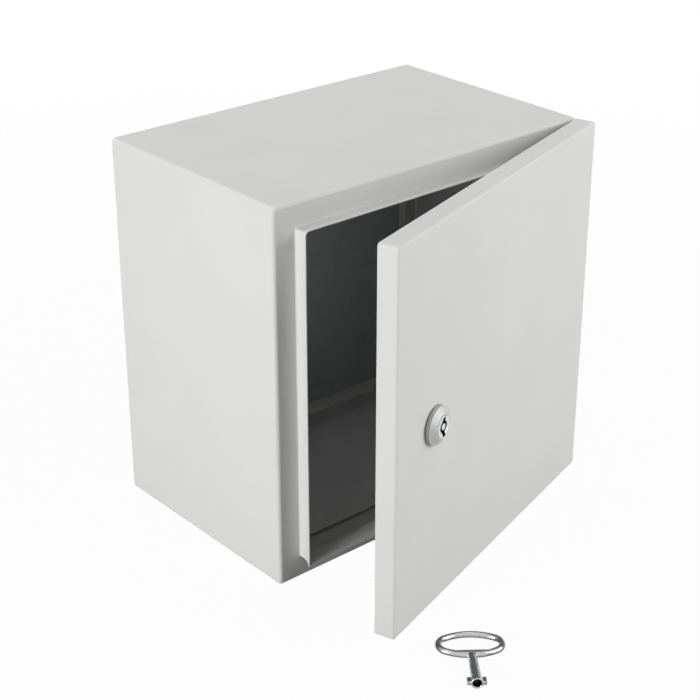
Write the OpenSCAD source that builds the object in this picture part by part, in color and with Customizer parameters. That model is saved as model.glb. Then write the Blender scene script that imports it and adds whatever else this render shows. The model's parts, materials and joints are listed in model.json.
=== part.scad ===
// Steel wall enclosure: a folded cabinet, a hinged door with a quarter-turn lock, and its key.
// +X is to the right of someone facing the door, +Y points into the wall and +Z is up.
// The origin is the centre of the four wall holes, on the face that meets the wall.

/* [Cabinet] */
// Width of the cabinet and of its door
cabinet_w = 300; // [270:10:400]
// Height of the cabinet and of its door
cabinet_h = 300; // [270:10:400]
// Depth of the cabinet without its door
cabinet_d = 192; // [180:2:240]
// Thickness of the folded sheet
sheet = 1.2; // [1:0.1:1.5]
// Outside radius of the cabinet's bends
bend_r = 3; // [2.5:0.5:4]
// Distance from the cabinet's sides to the wall holes
wall_hole_inset = 20; // [18:1:21]
// Radius of the wall holes
wall_hole_r = 4.25; // [3.25:0.25:4.5]
// Length of the rear panel's welded rim
rear_rim = 14; // [10:1:18]

/* [Front frame] */
// Width of the flat front flange, from the cabinet's side to the lip
flange_w = 19; // [18:0.5:20]
// Height of the lip that runs round the opening
lip_h = 14; // [12:0.5:14]
// Height of the lip's straight part, below its flare
lip_straight = 4; // [3:0.5:6]
// Outward lean of the flared tip
lip_flare = 2.4; // [1:0.1:2.6]
// Inside radius of the bend between flange and lip
lip_bend_r = 1; // [0.6:0.2:1.4]
// Radius of the lip's upper corners
lip_corner_r = 4; // [3:0.5:6]

/* [Door] */
// Depth of the door's folded edges
door_d = 16; // [16:0.5:18]
// Gap between the front flange and the door's edges
door_gap = 2; // [2:0.1:2.5]
// Outside radius of the door's bends
door_bend_r = 2; // [1.5:0.1:3]
// Radius of the door's four corners, seen from the front
door_corner_r = 2.5; // [2:0.5:4]
// Angle at which the door stands open
door_rest = 17.5; // [0:0.5:90]
// Width of the foam seal
seal_w = 12; // [9:1:13]
// Thickness of the foam seal
seal_t = 2.5; // [2:0.1:2.5]
// Corner radius along the middle of the foam seal
seal_corner_r = 9; // [8:1:14]

/* [Hinges] */
// Distance from the door's side face to the hinge axis
hinge_inset = 4; // [3.8:0.1:4.2]
// Distance from the door's rear edge forward to the hinge axis
hinge_forward = 3.8; // [3.6:0.1:4]
// Distance between the two hinges
hinge_spacing = 210; // [160:10:220]
// Radius of the hinge pins
hinge_pin_r = 1.5; // [1.3:0.1:1.6]
// Height of the cabinet's hinge eye
hinge_eye_h = 8; // [6:1:12]
// Thickness of the door's hinge lugs
hinge_lug_t = 3; // [2:0.5:4]

/* [Mounting plate] */
// Width and height of the mounting plate
plate_w = 250; // [200:5:250]
// Thickness of the mounting plate
plate_t = 2; // [1.5:0.5:3]
// Length of the spacers behind the mounting plate
spacer_l = 14.8; // [10:0.2:25]
// Distance from the plate's edges to its studs
plate_stud_inset = 12.5; // [12:0.5:20]
// Radius of the plate's studs
plate_stud_r = 4; // [3:0.5:4]

/* [Gland plate] */
// Width of the gland plate on the cabinet's floor
gland_w = 216; // [160:4:220]
// Depth of the gland plate
gland_d = 133; // [100:1:140]
// Distance from the wall face to the gland plate's rear edge
gland_back = 24; // [18:1:30]
// Thickness of the gland plate
gland_t = 1.5; // [1:0.5:3]
// Thickness of the rubber seal under the gland plate
gland_seal_t = 3; // [2:0.5:4]
// Radius of the gland plate's studs
gland_stud_r = 2.5; // [2:0.5:3]

/* [Lock] */
// Distance from the door's free edge to the lock's axis
lock_inset = 53; // [48:1:60]
// Radius of the lock's round escutcheon
escutcheon_r = 14.7; // [14.5:0.1:17]
// Radius of the lock's turning insert
insert_r = 8.25; // [8:0.05:8.5]
// Radius of the lock's threaded barrel
barrel_r = 11; // [10.5:0.25:11.5]
// Length of the cam from its axis to its tip
cam_l = 41; // [38:1:44]
// Width of the cam
cam_w = 17; // [14:1:20]
// Thickness of the cam
cam_t = 3; // [2:0.5:4]

/* [Key] */
// Outer length of the oval ring
ring_l = 50; // [44:1:60]
// Outer width of the oval ring
ring_w = 30; // [26:1:36]
// Radius of the ring's bar
ring_bar_r = 2.5; // [2:0.1:3]
// Length of the key's stem, from the ring
stem_l = 34; // [26:1:40]
// Radius of the stem's open end
stem_r = 4.3; // [4:0.1:4.4]
// Span of the key's two wings
wing_span = 13.6; // [12.5:0.1:14.6]
// Thickness of the wings
wing_t = 3; // [2.5:0.1:3.2]
// Place of the ring's centre on the floor, to the left of the cabinet's middle
key_left = 97; // [0:1:150]
// Place of the ring's centre on the floor, in front of the flange
key_front = 147; // [100:1:200]
// Turn of the key on the floor
key_turn = -38.5; // [-180:0.1:180]

/* [Hidden] */
$fn = 48;

// clearances
fit = 0.05;          // radial, between a round piece and the hole it turns or slips in
free = 0.3;          // between pieces that pass each other
through = 1;         // by which a cutter runs past what it cuts

// cabinet
half_w = cabinet_w / 2;
half_h = cabinet_h / 2;
floor_z = -half_h + sheet;
flange_y = -cabinet_d;
lip_x = half_w - flange_w;
lip_z = half_h - flange_w;
flare_knee = 0.25;   // share of the lip's flare that is reached half-way up it

// door, drawn closed
door_rear_y = flange_y - door_gap;
door_front_y = door_rear_y - door_d;
door_skin_y = door_front_y + sheet;
hinge_x = half_w - hinge_inset;
hinge_y = door_rear_y - hinge_forward;
seal_line = lip_flare - sheet / 2;

// hinges, measured from the axis
lug_axial_gap = 0.2;
lug_base_t = 1.5;
lug_seat = door_bend_r - sheet + 0.2;  // keeps the foot off the door's inner bend
bracket_t = 1.5;
bracket_h = 24;
bracket_reach = 12;
eye_wall = 1;
eye_r = hinge_pin_r + eye_wall;
swing_r = norm([hinge_inset, hinge_forward]);
neck_x = -swing_r - 2 * free;
arm_top = 0.4;
pin_head_t = 1.2;
pin_head_r = hinge_pin_r + 0.8;
pin_knurl = 0.08;
knurl_l = 4;

// mounting plate
plate_back_y = -sheet - spacer_l;
plate_front_y = plate_back_y - plate_t;
plate_stud_at = plate_w / 2 - plate_stud_inset;
plate_corner_r = 5;
washer_t = 1.6;
plate_nut_t = 6.5;
plate_nut_af = 13;
stud_proud = 3;

// gland plate
gland_mid_y = -gland_back - gland_d / 2;
gland_plate_z = floor_z + gland_seal_t;
gland_hole_inset = 6.5;
gland_seal_inset = 12;
gland_seal_w = 8;
gland_corner_r = 6;
gland_nut_t = 4;
gland_nut_af = 8;

// earth studs
earth_r = 3;
earth_l = 16;
earth_weld_r = 5;
earth_weld_t = 1;
earth_nut_t = 5;
earth_nut_af = 10;
earth_flange_r = 6.5;
earth_flange_t = 1.2;
earth_from_lip = 21;
door_earth_from_lip = 50;
earth_from_flange = 14;

// lock, measured outwards from the door's face
gasket_t = 0.8;
rim_t = 3;
cone_t = 3;
cone_top_r = insert_r + 1.4;
insert_proud = 0.6;
socket_depth = 9;
slot_l = 14.8;
socket_r = stem_r + 0.4;
socket_pin_r = 2.6;
insert_head_l = 12;
barrel_l = 15;
shaft_r = 5.2;
shank_w = 7;
cam_gap = 1.2;
cam_front = flange_y + sheet + cam_gap - door_front_y;
cam_washer_t = 1.2;
cam_washer_r = 7;
screw_r = 2.5;
screw_l = 10;
screw_head_t = 3.5;
screw_head_af = 8;
lock_nut_t = 5;
lock_nut_af = 27;

// key
ring_end_r = 9;
ring_a = ring_l / 2 - ring_bar_r;
ring_b = ring_w / 2 - ring_bar_r;
ring_side_r = (pow(ring_a - ring_end_r, 2) + pow(ring_b, 2) - pow(ring_end_r, 2))
              / (2 * (ring_b - ring_end_r));
ring_split = atan2(ring_side_r - ring_b, ring_a - ring_end_r);
ring_lap = 1.2;       // angle by which the side arcs run into the end arcs
ring_step = 0.05;     // by which the side arcs' bar is thinner
stem_neck_r = 3;
stem_hole_r = 3.1;
stem_hole_l = 14;
wing_l = 6;
wing_corner_r = 1;
web_l = 5;
web_t = 2;
key_reach = 2 * ring_b + stem_l;
key_tilt = asin((stem_r - ring_bar_r) / key_reach);

// Rectangle with four round corners
module rounded_rect(w, h, r) {
  square([w - 2 * r, h], center = true);
  square([w, h - 2 * r], center = true);
  for (x = [-1, 1], z = [-1, 1])
    translate([x * (w / 2 - r), z * (h / 2 - r)]) circle(r);
}

// Rectangle from y = -d to y = 0 whose two corners at y = -d are round
module front_rounded(w, d, r) {
  translate([-w / 2, -d + r]) square([w, d - r]);
  translate([-w / 2 + r, -d]) square([w - 2 * r, d]);
  for (x = [-1, 1])
    translate([x * (w / 2 - r), -d + r]) circle(r);
}

// Solid of a folded tray, from y = -d in front to y = 0
module folded_box(w, h, d, corner_r, front_r) {
  intersection() {
    rotate([90, 0, 0]) linear_extrude(d) rounded_rect(w, h, corner_r);
    linear_extrude(h, center = true) front_rounded(w, d, front_r);
    rotate([90, 0, 90]) linear_extrude(w, center = true)
      mirror([1, -1, 0]) front_rounded(h, d, front_r);
  }
}

// Runs a section along X, with the section's x pointing up and its y pointing forward
module edge_run(from, to) {
  translate([from, 0, 0]) rotate(180, [1, 0, 1]) linear_extrude(to - from) children();
}

// Turns a section round an upright corner of radius r, towards +X and then +Z
module edge_corner(r) {
  rotate([90, 0, 0]) rotate_extrude(angle = 90) translate([r, 0]) children();
}

// Runs a section round a rectangle with four round corners
module rounded_frame(w, h, r) {
  for (side = [0:3]) {
    span = side % 2 == 0 ? w : h;
    reach = side % 2 == 0 ? h : w;
    rotate([0, 90 * side, 0]) {
      translate([0, 0, reach]) edge_run(r - span, span - r) children();
      translate([span - r, 0, reach - r]) edge_corner(r) children();
    }
  }
}

// Hexagonal nut on the Z axis
module hex_nut(af, t, bore) {
  difference() {
    cylinder(h = t, r = af / 2 / cos(30), $fn = 6);
    translate([0, 0, -through]) cylinder(h = t + 2 * through, r = bore);
  }
}

// Places on the mounting plate, with Z pointing to the front
module at_plate_studs(y) {
  for (x = [-1, 1], z = [-1, 1])
    translate([x * plate_stud_at, y, z * plate_stud_at]) rotate([90, 0, 0]) children();
}

// Places of the gland plate's six studs
module at_gland_studs(z) {
  for (x = [-1, 0, 1], y = [-1, 1])
    translate([x * (gland_w / 2 - gland_hole_inset),
               gland_mid_y + y * (gland_d / 2 - gland_hole_inset), z]) children();
}

module gland_outline(inset) {
  translate([0, gland_mid_y])
    rounded_rect(gland_w - 2 * inset, gland_d - 2 * inset, gland_corner_r);
}

// Opening inside the lip, grown outwards, with round corners above and square ones below
module frame_opening(grow) {
  r = lip_corner_r + grow;
  w = lip_x + grow;
  h = lip_z + grow;
  translate([-w, -h]) square([2 * w, 2 * h - r]);
  translate([r - w, -h]) square([2 * (w - r), 2 * h]);
  for (x = [-1, 1]) translate([x * (w - r), h - r]) circle(r);
}

// Section of the lip: the bend off the flange, a straight part and a tip flared in two steps
module lip_section() {
  knee_x = flare_knee * lip_flare;
  knee_y = (lip_straight + lip_h) / 2;
  polygon([[-sheet, lip_bend_r], [0, lip_bend_r], [0, lip_straight], [knee_x, knee_y],
           [lip_flare, lip_h], [lip_flare - sheet, lip_h],
           [knee_x - sheet, knee_y], [-sheet, lip_straight]]);
  intersection() {
    translate([-sheet, -sheet]) square(sheet + lip_bend_r);
    translate([lip_bend_r, lip_bend_r]) difference() {
      circle(lip_bend_r + sheet);
      circle(lip_bend_r);
    }
  }
}

// Cuts an upper run at 45 degrees where it meets the corner at x = w and z = reach
module mitred(w, reach) {
  m = 2 * lip_h;
  difference() {
    children();
    rotate([90, 0, 0]) linear_extrude(4 * lip_h, center = true)
      polygon([[w - m, reach - m], [w + m, reach - m], [w + m, reach + m]]);
  }
}

module lip() {
  r = lip_corner_r;
  translate([0, flange_y, 0]) {
    translate([0, 0, lip_z]) edge_run(r - lip_x, lip_x - r) lip_section();
    for (side = [0, 1]) mirror([side, 0, 0]) {
      translate([lip_x - r, 0, lip_z - r]) edge_corner(r) lip_section();
      rotate([0, 90, 0]) mitred(lip_z, lip_x)
        translate([0, 0, lip_x]) edge_run(r - lip_z, half_h) lip_section();
      rotate([0, 180, 0]) mitred(lip_x, lip_z)
        translate([0, 0, lip_z]) edge_run(0, half_w) lip_section();
    }
  }
}

// Cabinet: four walls, front flange and lip, folded from one sheet and welded
module body_shell() {
  color("whitesmoke") {
    difference() {
      folded_box(cabinet_w, cabinet_h, cabinet_d, bend_r, bend_r);
      translate([0, through, 0])
        folded_box(cabinet_w - 2 * sheet, cabinet_h - 2 * sheet, cabinet_d - sheet + through,
                   bend_r - sheet, bend_r - sheet);
      translate([0, flange_y + bend_r, 0]) rotate([90, 0, 0])
        linear_extrude(bend_r + through) frame_opening(lip_bend_r);
      translate([0, 0, -half_h - through]) linear_extrude(sheet + 2 * through)
        gland_outline(gland_seal_inset + gland_seal_w);
    }
    lip();
  }
}

// Rear panel, welded inside the walls by its folded rim
module rear_panel() {
  w = cabinet_w - 2 * sheet;
  h = cabinet_h - 2 * sheet;
  color("whitesmoke") rotate([90, 0, 0]) difference() {
    union() {
      linear_extrude(sheet) rounded_rect(w, h, bend_r - sheet + free);
      for (side = [-1, 1]) {
        translate([side * (w - sheet) / 2, 0, rear_rim / 2])
          cube([sheet, h - 4 * bend_r, rear_rim], center = true);
        translate([0, side * (h - sheet) / 2, rear_rim / 2])
          cube([w - 4 * bend_r, sheet, rear_rim], center = true);
      }
    }
    for (x = [-1, 1], z = [-1, 1])
      translate([x * (half_w - wall_hole_inset), z * (half_h - wall_hole_inset), -through])
        cylinder(h = sheet + 2 * through, r = wall_hole_r);
  }
}

// Galvanised mounting plate on its four studs
module mounting_plate() {
  color("silver") difference() {
    translate([0, plate_back_y, 0]) rotate([90, 0, 0])
      linear_extrude(plate_t) rounded_rect(plate_w, plate_w, plate_corner_r);
    at_plate_studs(plate_back_y + through)
      cylinder(h = plate_t + 2 * through, r = plate_stud_r + free);
  }
}

module plate_studs() {
  length = spacer_l + plate_t + washer_t + plate_nut_t + stud_proud;
  color("silver") at_plate_studs(-sheet) cylinder(h = length, r = plate_stud_r);
}

module plate_spacers() {
  color("darkgray") at_plate_studs(-sheet) difference() {
    cylinder(h = spacer_l, r = plate_stud_r + 3);
    translate([0, 0, -through])
      cylinder(h = spacer_l + 2 * through, r = plate_stud_r + fit);
  }
}

module plate_washers() {
  color("silver") at_plate_studs(plate_front_y) difference() {
    cylinder(h = washer_t, r = 2 * plate_stud_r);
    translate([0, 0, -through])
      cylinder(h = washer_t + 2 * through, r = plate_stud_r + fit);
  }
}

module plate_nuts() {
  color("silver") at_plate_studs(plate_front_y - washer_t)
    hex_nut(plate_nut_af, plate_nut_t, plate_stud_r + fit);
}

// Removable gland plate over the opening in the floor
module gland_plate() {
  color("whitesmoke") difference() {
    translate([0, 0, gland_plate_z]) linear_extrude(gland_t) gland_outline(0);
    at_gland_studs(gland_plate_z - through)
      cylinder(h = gland_t + 2 * through, r = gland_stud_r + free);
  }
}

module gland_seal() {
  color("dimgray") translate([0, 0, floor_z]) linear_extrude(gland_seal_t) difference() {
    gland_outline(gland_seal_inset);
    gland_outline(gland_seal_inset + gland_seal_w);
  }
}

module gland_studs() {
  color("silver") at_gland_studs(floor_z)
    cylinder(h = gland_seal_t + gland_t + gland_nut_t + stud_proud, r = gland_stud_r);
}

module gland_nuts() {
  color("silver") at_gland_studs(gland_plate_z + gland_t)
    hex_nut(gland_nut_af, gland_nut_t, gland_stud_r + fit);
}

// Earth stud on the Z axis, with its weld pad, and the flanged nut that runs on it
module earth_stud() {
  color("silver") {
    cylinder(h = earth_l, r = earth_r);
    cylinder(h = earth_weld_t, r = earth_weld_r);
  }
}

module earth_nut() {
  color("goldenrod") translate([0, 0, earth_weld_t]) {
    hex_nut(earth_nut_af, earth_nut_t, earth_r + fit);
    difference() {
      cylinder(h = earth_flange_t, r = earth_flange_r);
      translate([0, 0, -through]) cylinder(h = earth_l, r = earth_r + fit);
    }
  }
}

module at_body_earth() {
  translate([lip_x - earth_from_lip, flange_y + earth_from_flange, floor_z]) children();
}

module at_door_earth() {
  translate([lip_x - door_earth_from_lip, door_skin_y, earth_from_lip - lip_z])
    rotate([-90, 0, 0]) children();
}

module body_earth_stud() {
  at_body_earth() earth_stud();
}

module body_earth_nut() {
  at_body_earth() earth_nut();
}

// Places of the hinges
module at_hinges() {
  for (z = [-1, 1]) translate([hinge_x, hinge_y, z * hinge_spacing / 2]) children();
}

// Outline of the bracket's hooked arm, which reaches round the door's folded edge to its eye
module hinge_arm() {
  to_flange = flange_y - hinge_y;
  translate([-bracket_reach, -eye_r + fit])
    square([bracket_reach + neck_x, to_flange + eye_r - fit]);
  translate([neck_x - fit, -eye_r + fit]) square([-neck_x + fit, eye_r + arm_top - fit]);
  circle(eye_r);
}

// Cabinet's half of the hinges, welded to the front flange
module hinge_brackets() {
  to_flange = flange_y - hinge_y;
  color("silver") at_hinges() difference() {
    union() {
      translate([-bracket_reach, to_flange - bracket_t, -bracket_h / 2])
        cube([bracket_reach + neck_x, bracket_t, bracket_h]);
      linear_extrude(hinge_eye_h, center = true) hinge_arm();
    }
    cylinder(h = hinge_eye_h + 2 * through, r = hinge_pin_r + fit, center = true);
  }
}

// Headed pins, held in the eyes by a short knurl
module hinge_pins() {
  top = hinge_eye_h / 2 + lug_axial_gap + hinge_lug_t + lug_axial_gap;
  color("lightgray") at_hinges() {
    translate([0, 0, -top]) cylinder(h = 2 * top, r = hinge_pin_r);
    cylinder(h = knurl_l, r = hinge_pin_r + pin_knurl, center = true);
    translate([0, 0, top]) cylinder(h = pin_head_t, r = pin_head_r);
  }
}

// Swings the door's pieces from closed to where the door stands
module on_door() {
  translate([hinge_x, hinge_y, 0]) rotate([0, 0, door_rest])
    translate([-hinge_x, -hinge_y, 0]) children();
}

// Door: a folded tray with a hole for the lock
module door_panel() {
  color("whitesmoke") on_door() difference() {
    translate([0, door_rear_y, 0])
      folded_box(cabinet_w, cabinet_h, door_d, door_corner_r, door_bend_r);
    translate([0, door_rear_y + through, 0])
      folded_box(cabinet_w - 2 * sheet, cabinet_h - 2 * sheet, door_d - sheet + through,
                 door_corner_r - sheet, door_bend_r - sheet);
    at_lock() translate([0, 0, -door_d / 2]) cylinder(h = door_d, r = barrel_r + free);
  }
}

// Outline of one lug, from the door's skin to its rounded end on the hinge axis
module lug_outline() {
  edge = hinge_inset - sheet;
  back = door_skin_y - hinge_y;
  translate([-eye_r, back]) square([eye_r + edge - lug_seat, -back]);
  circle(edge - fit);
}

// Door's half of the hinges, two lugs on a common foot
module door_hinge_lugs() {
  edge = hinge_inset - sheet;
  back = door_skin_y - hinge_y;
  inner = hinge_eye_h / 2 + lug_axial_gap;
  foot_w = edge + 2 * eye_r;
  color("silver") on_door() at_hinges() difference() {
    union() {
      translate([edge - lug_seat - foot_w, back, -inner - hinge_lug_t])
        cube([foot_w, lug_base_t, 2 * (inner + hinge_lug_t)]);
      for (z = [inner, -inner - hinge_lug_t])
        translate([0, 0, z]) linear_extrude(hinge_lug_t) lug_outline();
    }
    cylinder(h = 4 * hinge_eye_h, r = hinge_pin_r + fit, center = true);
  }
}

// Foamed seal, a low domed bead that the lip presses on
module door_seal() {
  color("dimgray") on_door() translate([0, door_skin_y, 0])
    rounded_frame(lip_x + seal_line, lip_z + seal_line, seal_corner_r)
      mirror([0, 1]) intersection() {
        translate([-seal_w / 2, 0]) square([seal_w, seal_t]);
        translate([0, seal_t - seal_w]) circle(seal_w);
      }
}

module door_earth_stud() {
  on_door() at_door_earth() earth_stud();
}

module door_earth_nut() {
  on_door() at_door_earth() earth_nut();
}

// Moves to the lock: Z points outwards from the door's face, Y points up
module at_lock() {
  translate([lock_inset - half_w, door_front_y, 0]) rotate([90, 0, 0]) children();
}

// Escutcheon and threaded barrel, one zinc casting
module lock_housing() {
  color("gainsboro") on_door() at_lock() difference() {
    union() {
      translate([0, 0, gasket_t]) cylinder(h = rim_t, r = escutcheon_r);
      translate([0, 0, gasket_t + rim_t])
        cylinder(h = cone_t, r1 = escutcheon_r - 1, r2 = cone_top_r);
      translate([0, 0, -barrel_l]) cylinder(h = barrel_l + gasket_t + rim_t, r = barrel_r);
    }
    translate([0, 0, -insert_head_l]) cylinder(h = 2 * barrel_l, r = insert_r + fit);
    translate([0, 0, -barrel_l - through]) cylinder(h = barrel_l, r = shaft_r + fit);
  }
}

module lock_gasket() {
  color("dimgray") on_door() at_lock() difference() {
    cylinder(h = gasket_t, r = escutcheon_r - free);
    translate([0, 0, -through]) cylinder(h = gasket_t + 2 * through, r = barrel_r + fit);
  }
}

module lock_nut() {
  color("silver") on_door() at_lock() translate([0, 0, -sheet - lock_nut_t])
    hex_nut(lock_nut_af, lock_nut_t, barrel_r + fit);
}

// Turning insert, with the double-bit socket in front and a square shank behind
module lock_insert() {
  front = gasket_t + rim_t + cone_t + insert_proud;
  color("lightgray") on_door() at_lock() difference() {
    union() {
      translate([0, 0, fit - insert_head_l])
        cylinder(h = front + insert_head_l - fit, r = insert_r);
      translate([0, 0, -cam_front]) cylinder(h = cam_front, r = shaft_r);
      translate([0, 0, -cam_front - cam_t / 2 + through / 2])
        cube([shank_w, shank_w, cam_t + through], center = true);
    }
    translate([0, 0, front - socket_depth]) difference() {
      union() {
        cylinder(h = 2 * socket_depth, r = socket_r);
        translate([0, 0, socket_depth])
          cube([wing_t + free, slot_l, 2 * socket_depth], center = true);
      }
      translate([0, 0, -through]) cylinder(h = socket_depth + through - free, r = socket_pin_r);
    }
    translate([0, 0, -cam_front - cam_t - through])
      cylinder(h = screw_l + through, r = screw_r + fit);
  }
}

// Cam that catches behind the flange, hanging down while the lock is open
module lock_cam() {
  tip_r = cam_w / 4;
  color("silver") on_door() at_lock() translate([0, 0, -cam_front - cam_t])
    linear_extrude(cam_t) difference() {
      union() {
        circle(cam_w / 2);
        translate([-cam_w / 2 + fit, tip_r - cam_l]) square([cam_w - 2 * fit, cam_l - tip_r]);
        translate([-cam_w / 2 + tip_r, -cam_l]) square([cam_w - 2 * tip_r, cam_l]);
        for (x = [-1, 1]) translate([x * (cam_w / 2 - tip_r), tip_r - cam_l]) circle(tip_r - fit);
      }
      square(shank_w + 2 * fit, center = true);
    }
}

module cam_washer() {
  color("silver") on_door() at_lock() translate([0, 0, -cam_front - cam_t - cam_washer_t])
    difference() {
      cylinder(h = cam_washer_t, r = cam_washer_r);
      translate([0, 0, -through]) cylinder(h = cam_washer_t + 2 * through, r = screw_r + fit);
    }
}

module cam_screw() {
  seat = cam_front + cam_t + cam_washer_t;
  color("silver") on_door() at_lock() {
    translate([0, 0, -seat]) cylinder(h = cam_washer_t + screw_l - through, r = screw_r);
    translate([0, 0, -seat - screw_head_t]) hex_nut(screw_head_af, screw_head_t, 0);
  }
}

// Oval ring of four tangent arcs, its bar lying in the XY plane
module oval_ring() {
  for (end = [0, 180]) rotate([0, 0, end]) {
    translate([ring_a - ring_end_r, 0, 0]) rotate([0, 0, -ring_split])
      rotate_extrude(angle = 2 * ring_split) translate([ring_end_r, 0]) circle(ring_bar_r);
    translate([0, ring_b - ring_side_r, 0]) rotate([0, 0, ring_split - ring_lap])
      rotate_extrude(angle = 180 - 2 * (ring_split - ring_lap))
        translate([ring_side_r, 0]) circle(ring_bar_r - ring_step);
  }
}

// Flat web between the ring's near side and a chord, which carries the stem
module ring_web() {
  translate([0, 0, -web_t / 2]) linear_extrude(web_t) intersection() {
    translate([0, ring_side_r - ring_b]) circle(ring_side_r);
    translate([-ring_a, -ring_b]) square([2 * ring_a, web_l]);
  }
}

// Double-bit key, cast in one piece and lying on the floor
module key() {
  tip_y = -ring_b - stem_l;
  color("lightgray")
    translate([-key_left, flange_y - key_front, -half_h + ring_bar_r])
    rotate([0, 0, key_turn])
    translate([0, ring_b, 0]) rotate([-key_tilt, 0, 0]) translate([0, -ring_b, 0])
    difference() {
      union() {
        oval_ring();
        translate([0, -ring_b, 0]) rotate([90, 0, 0])
          cylinder(h = stem_l, r1 = stem_neck_r, r2 = stem_r);
        translate([0, tip_y + wing_l / 2, -wing_t / 2])
          linear_extrude(wing_t) rounded_rect(wing_span, wing_l, wing_corner_r);
        ring_web();
      }
      translate([0, tip_y - through, 0]) rotate([-90, 0, 0])
        cylinder(h = stem_hole_l + through, r = stem_hole_r);
    }
}

body_shell();
rear_panel();
mounting_plate();
plate_studs();
plate_spacers();
plate_washers();
plate_nuts();
gland_plate();
gland_seal();
gland_studs();
gland_nuts();
hinge_brackets();
hinge_pins();
body_earth_stud();
body_earth_nut();
door_panel();
door_hinge_lugs();
door_seal();
door_earth_stud();
door_earth_nut();
lock_housing();
lock_gasket();
lock_nut();
lock_insert();
lock_cam();
cam_washer();
cam_screw();
key();
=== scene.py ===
import json
import math

import bmesh
import bpy
from mathutils import Matrix, Vector


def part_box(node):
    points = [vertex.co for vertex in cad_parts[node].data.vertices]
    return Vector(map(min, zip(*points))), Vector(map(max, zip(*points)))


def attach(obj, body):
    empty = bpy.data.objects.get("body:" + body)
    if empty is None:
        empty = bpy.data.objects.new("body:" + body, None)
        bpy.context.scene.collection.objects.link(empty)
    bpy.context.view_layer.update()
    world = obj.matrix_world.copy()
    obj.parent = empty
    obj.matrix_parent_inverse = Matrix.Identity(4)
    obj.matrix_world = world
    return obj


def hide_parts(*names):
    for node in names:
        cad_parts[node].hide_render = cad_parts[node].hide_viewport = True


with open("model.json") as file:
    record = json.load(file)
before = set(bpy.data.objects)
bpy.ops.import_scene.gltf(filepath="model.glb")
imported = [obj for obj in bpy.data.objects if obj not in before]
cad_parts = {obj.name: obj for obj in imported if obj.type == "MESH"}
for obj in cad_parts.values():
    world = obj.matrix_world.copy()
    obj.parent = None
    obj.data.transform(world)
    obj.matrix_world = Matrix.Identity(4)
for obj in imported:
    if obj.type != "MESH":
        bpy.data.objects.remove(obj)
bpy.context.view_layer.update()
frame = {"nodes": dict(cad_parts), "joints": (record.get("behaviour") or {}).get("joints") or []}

# ---------------------------------------------------------------- camera
# The viewer stands to the left of the open door and a little above the cabinet, about
# four times its height away: near enough for the edges to draw together.
MM = 0.001
VIEW_AZIMUTH = math.radians(40.78)
VIEW_ELEVATION = math.radians(25.89)
CAMERA_PLACE = Vector((-0.7866, -1.0094, 0.5476))
LENS = 85.38
SENSOR = 36

ahead = Vector((math.sin(VIEW_AZIMUTH) * math.cos(VIEW_ELEVATION),
                math.cos(VIEW_AZIMUTH) * math.cos(VIEW_ELEVATION),
                -math.sin(VIEW_ELEVATION)))
camera_data = bpy.data.cameras.new("camera")
camera_data.lens = LENS
camera_data.sensor_width = SENSOR
camera = bpy.data.objects.new("camera", camera_data)
camera.location = CAMERA_PLACE
camera.rotation_euler = ahead.to_track_quat("-Z", "Y").to_euler()
bpy.context.collection.objects.link(camera)
bpy.context.scene.camera = camera
bpy.context.scene.view_settings.view_transform = "Standard"

# ---------------------------------------------------------------- studio
# A plain white floor and room with three soft boxes: one beside the left wall, one in
# front of the door and one overhead. The open door keeps most light off the inside.
FLOOR_HALF = 6.0
FLOOR_WHITE = 0.97
SHADOW_NEAR = 0.4
SHADOW_FAR = 1.2
CARD_GREY = "#ACACAC"
WORLD_FILL = 0.02
SOFT_BOXES = {
    "left_box": {"at": (-1.8, -0.3, 0.35), "aim": (-0.15, -0.15, 0), "size": 0.6, "watts": 26.3},
    "front_box": {"at": (1.05, -1.65, 0.66), "aim": (0, -0.2, 0), "size": 2.2, "watts": 46},
    "top_box": {"at": (0.1, 0.6, 1.65), "aim": (0, -0.1, 0), "size": 1.4, "watts": 17},
}


def linear(hex_colour):
    """Turns an sRGB hex colour into linear red, green, blue and alpha."""
    parts = [int(hex_colour[i:i + 2], 16) / 255 for i in (1, 3, 5)]
    return [p / 12.92 if p <= 0.04045 else ((p + 0.055) / 1.055) ** 2.4 for p in parts] + [1]


def add_node(tree, kind, settings=None, inputs=None, links=None):
    """Adds a node, sets its properties and inputs, and links its inputs to other sockets."""
    node = tree.nodes.new(kind)
    for name, value in (settings or {}).items():
        setattr(node, name, value)
    for name, value in (inputs or {}).items():
        node.inputs[name].default_value = value
    for name, socket in (links or {}).items():
        tree.links.new(socket, node.inputs[name])
    return node


def new_material(name):
    """An empty node material and its tree."""
    material = bpy.data.materials.new(name)
    material.use_nodes = True
    material.node_tree.nodes.clear()
    return material, material.node_tree


def link_object(name, mesh):
    """A new object at the origin that shows the mesh."""
    obj = bpy.data.objects.new(name, mesh)
    bpy.context.collection.objects.link(obj)
    return obj


def seen_directly(tree):
    """A socket that is 1 for rays from the camera, off a gloss or through glass, else 0."""
    path = add_node(tree, "ShaderNodeLightPath")
    direct = add_node(tree, "ShaderNodeMath", {"operation": "MAXIMUM"},
                      links={0: path.outputs["Is Camera Ray"]})
    tree.links.new(path.outputs["Is Transmission Ray"], direct.inputs[1])
    shown = add_node(tree, "ShaderNodeMath", {"operation": "MAXIMUM"},
                     links={0: direct.outputs[0]})
    tree.links.new(path.outputs["Is Glossy Ray"], shown.inputs[1])
    return shown.outputs[0]


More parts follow.
